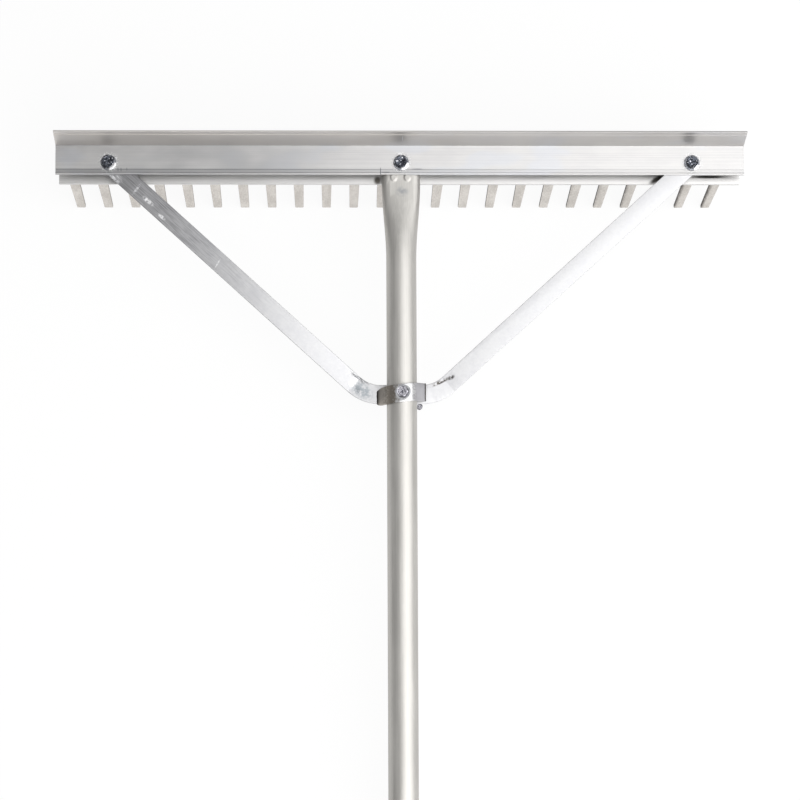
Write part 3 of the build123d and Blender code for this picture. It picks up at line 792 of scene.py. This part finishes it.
def rolled_shank(length):
    """Shank hanging from the origin, its lower end threaded by moving its rings in and out along a helix."""
    rings = int(length / thread_pitch * 8)
    bpy.ops.mesh.primitive_cylinder_add(
        vertices=32, radius=bolt_radius, depth=length, location=(0, 0, -length / 2)
    )
    shank = bpy.context.object
    bpy.ops.object.transform_apply()
    edit(shank, "EDGE", lambda edge: abs(
        shank.data.vertices[edge.vertices[0]].co.z - shank.data.vertices[edge.vertices[1]].co.z
    ) > length / 2)
    bpy.ops.mesh.subdivide(number_cuts=rings - 1)
    bpy.ops.object.mode_set(mode="OBJECT")
    for point in shank.data.vertices:
        from_end = point.co.z + length
        turns = Vector((1, 0)).angle_signed(point.co.xy, 0.0) / (2 * pi)
        wave = abs(((from_end / thread_pitch + turns) % 1.0) * 2 - 1)
        fade = min(1.0, max(0.0, (thread_run - from_end) / thread_pitch))
        radius = bolt_radius - thread_depth * fade * min(1.0, max(0.0, 1.15 - 1.3 * wave))
        radius = min(radius, bolt_radius - end_chamfer + from_end)
        point.co.xy = point.co.xy.normalized() * radius
    return shank


def hex_bolt(name, length):
    """Hex bolt at the origin, its head standing up and its shank hanging down."""
    bolt = hex_block(name, head_height, False)
    edit(bolt, "FACE", lambda face: face.normal.z > 0.99)
    bpy.ops.mesh.dissolve_faces()
    bpy.ops.mesh.inset(thickness=dish_rim)
    bpy.ops.transform.translate(value=(0, 0, -dish_depth))
    bpy.ops.object.mode_set(mode="OBJECT")
    for mark in range(3):
        mark_place = (0, mark_from_axis, head_height - mark_size.z / 2)
        bpy.ops.mesh.primitive_cube_add(size=1.0, location=mark_place)
        tick = bpy.context.object
        tick.scale = mark_size
        bpy.ops.object.transform_apply()
        shape_by(tick, "BEVEL", width=0.2 * mm, segments=2)
        tick.data.transform(Matrix.Rotation(2 * pi / 3 * mark, 4, "Z"))
        joined(bolt, tick)
    shape_by(bolt, "BEVEL", width=0.18 * mm, segments=2, limit_method="ANGLE", angle_limit=radians(25))
    joined(bolt, rolled_shank(length))
    done(bolt)
    return bolt


def copy_at(piece, name, place, facing, turn):
    """A copy of a fastener with its own mesh, moved from the origin to its seat."""
    copy = bpy.data.objects.new(name, piece.data.copy())
    bpy.context.scene.collection.objects.link(copy)
    seat(copy, place, facing, turn)
    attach(copy, "root")
    return copy


def zinc_plating(name, light, dark, haze_length, detail, levels, roughness):
    """Zinc plating, hazy in patches of a length in millimetres; its tone turns between two levels."""
    material, tree, shader, place = metal(name, dark, roughness[0])
    haze = grain(tree, place, (haze_length, haze_length, haze_length), detail)
    lay_over(tree, shader.inputs["Base Color"], light, (haze, *levels))
    lay_over(tree, shader.inputs["Roughness"], roughness[1], (haze, 0.3, 0.7))
    return material, tree, shader, place, haze


# Painted dark reflection: the plating is given dark tones
bolt_finish, tree, shader, place, haze = zinc_plating(
    "zinc_painted_dark_with_glints", "5C6069", "2C2E33", 5.0, 4.0, (0.35, 0.65), (0.16, 0.30)
)
forge_marks_and_glints = grain(tree, place, (2.2, 2.2, 2.2), detail=2.0)
# Painted glints: bright specks on the dark plating; the same noise also roughens the surface
lay_over(tree, shader.inputs["Base Color"], "D4D5DA", (forge_marks_and_glints, 0.62, 0.67))
# Painted shade: faces not turned out of the rake, the head's sides and the shank, are painted near black
lay_over(tree, shader.inputs["Base Color"], "1C1D20", (squarely(tree, out_way), 0.8, 0.4))
roughen(tree, shader, forge_marks_and_glints, 0.3 * mm)

washer_thickness = 1.6
head_bolt = hex_bolt("head_bolt", 44.45 * mm)
for (name, column), turn in zip(bolt_columns.items(), (12.0, 34.0, 21.0)):
    seat_point = on_rake(column, 0, wall_out + washer_thickness)
    bolt = copy_at(head_bolt, f"head_bolt_{name}", seat_point, out_way, turn)
    wear(bolt, bolt_finish)
    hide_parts("head_bolts")
bpy.data.objects.remove(head_bolt)

# Washers: stamped from sheet steel and zinc plated bright. Stamping rolls the upper edges over and leaves
# the lower ones sharp. The front ones are painted dark as painted shade and dark reflection, with a painted
# highlight at the lower right.
washer_radius = 10.3 * mm
washer_bore = bolt_radius + 0.4 * mm
bpy.ops.mesh.primitive_cylinder_add(
    vertices=72, radius=washer_radius, depth=washer_thickness * mm, location=(0, 0, washer_thickness / 2 * mm)
)
washer = bpy.context.object
washer.name = "washer"
bpy.ops.object.transform_apply()
edit(washer, "FACE", lambda face: abs(face.normal.z) > 0.9)
bpy.ops.mesh.inset(thickness=washer_radius - washer_bore)
bpy.ops.mesh.bridge_edge_loops()
bpy.ops.object.mode_set(mode="OBJECT")
upper_points = [point.index for point in washer.data.vertices if point.co.z > washer_thickness / 2 * mm]
washer.vertex_groups.new(name="rolled").add(upper_points, 1.0, "REPLACE")
shape_by(washer, "BEVEL", width=0.4 * mm, segments=4, limit_method="VGROUP", vertex_group="rolled")
done(washer)
washer_finish = zinc_plating(
    "bright_zinc_plating", "EDEEEF", "CFD1D6", 4.0, 4.0, (0.35, 0.65), (0.24, 0.36)
)[0]
# Painted shade and dark reflection: the front washers' dark plating
front_washer_finish, tree, shader, place, haze = zinc_plating(
    "zinc_painted_shade_and_highlight", "8E9095", "4A4C51", 2.5, 3.0, (0.4, 0.6), (0.24, 0.36)
)
# Painted highlight: a bright patch at each front washer's lower right, smaller on the right bolt
for column, reach in zip(bolt_columns.values(), (8.5, 8.5, 5.5)):
    painted_highlight = patch(tree, place, (column + 7.0, -7.0, wall_out), (reach, reach, 8.0), 0.6)
    lay_over(tree, shader.inputs["Base Color"], "F4F4F5", painted_highlight)
bar_back = 16.5
for name, column in bolt_columns.items():
    front = copy_at(washer, f"head_washer_{name}", on_rake(column, 0, wall_out), out_way, 0.0)
    wear(front, front_washer_finish)
    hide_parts("head_washers")
    rear = copy_at(washer, f"rear_washer_{name}", on_rake(column, 0, -bar_back), -out_way, 0.0)
    wear(rear, washer_finish)
    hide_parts("rear_washers")

# Hex nuts: cold forged steel, zinc plated, chamfered on both faces and tapped for the bolts. Each is run up
# tight against its rear washer.
nut_height = 8.3 * mm
nut = hex_block("nut", nut_height, True)
bpy.ops.mesh.primitive_cylinder_add(vertices=48, radius=bolt_radius + 0.1 * mm, depth=4 * nut_height)
joined(nut, bpy.context.object, "DIFFERENCE")
shape_by(nut, "BEVEL", width=0.2 * mm, segments=2, limit_method="ANGLE", angle_limit=radians(25))
done(nut)
for (name, column), turn in zip(bolt_columns.items(), (8.0, 51.0, 27.0)):
    seat_point = on_rake(column, 0, -bar_back - washer_thickness)
    run_up = copy_at(nut, f"head_nut_{name}", seat_point, -out_way, turn)
    wear(run_up, washer_finish)
    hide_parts("head_nuts")

# Clamp fasteners: a long bolt pushed askew through strap, tube and brace, with a washer under its head and
# a nut behind the brace. Its head is scratched bright, and its end shows below the strap's right end.
tilt_cosine = bolt_in.dot(-out_way)
tilt_tangent = (1 - tilt_cosine ** 2) ** 0.5 / tilt_cosine
seat_gap = 0.05 * mm
washer_seat = clamp_entry - bolt_in * (washer_radius * tilt_tangent + seat_gap)
clamp_head_seat = washer_seat - bolt_in * washer_thickness * mm
brace_back_out = -23.2
nut_lift = head_corner * tilt_tangent + seat_gap
nut_seat = clamp_entry + bolt_in * ((strap_front_out - brace_back_out) / tilt_cosine * mm + nut_lift)
clamp_bolt_finish, tree, shader, place, scratches = zinc_plating(
    "scratched_zinc_plating", "E4E3EB", "6E6D79", 1.8, 2.0, (0.4, 0.5), (0.2, 0.36)
)
colour = shader.inputs["Base Color"]
out_of_rake = add_node(tree, "ShaderNodeSeparateXYZ", {"Vector": place}).outputs["Z"]
# Painted shade: below the head the bolt is painted darker, and the head's sides darker still
lay_over(tree, colour, "5E5D63", (out_of_rake, 20.0, 16.0), (scratches, 0.6, 0.35, 0.45, 1.0))
endways = add_node(tree, "ShaderNodeMath", {0: squarely(tree, -bolt_in)}, operation="ABSOLUTE").outputs[0]
lay_over(tree, colour, "3A3943", (out_of_rake, 16.0, 20.0), (endways, 0.96, 0.6))
roughen(tree, shader, scratches, 0.1 * mm)
clamp_bolt = hex_bolt("clamp_bolt_blank", 101.6 * mm)
for blank, name, node, place_of_piece, facing, turn, finish in (
    (clamp_bolt, "clamp_bolt_zinc", "clamp_bolt", clamp_head_seat, -bolt_in, 24.0, clamp_bolt_finish),
    (washer, "clamp_washer_zinc", "clamp_washer", washer_seat, -bolt_in, 0.0, washer_finish),
    (nut, "clamp_nut_zinc", "clamp_nut", nut_seat, bolt_in, 15.0, washer_finish),
):
    piece = copy_at(blank, name, place_of_piece, facing, turn)
    wear(piece, finish)
    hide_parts(node)
    bpy.data.objects.remove(blank)
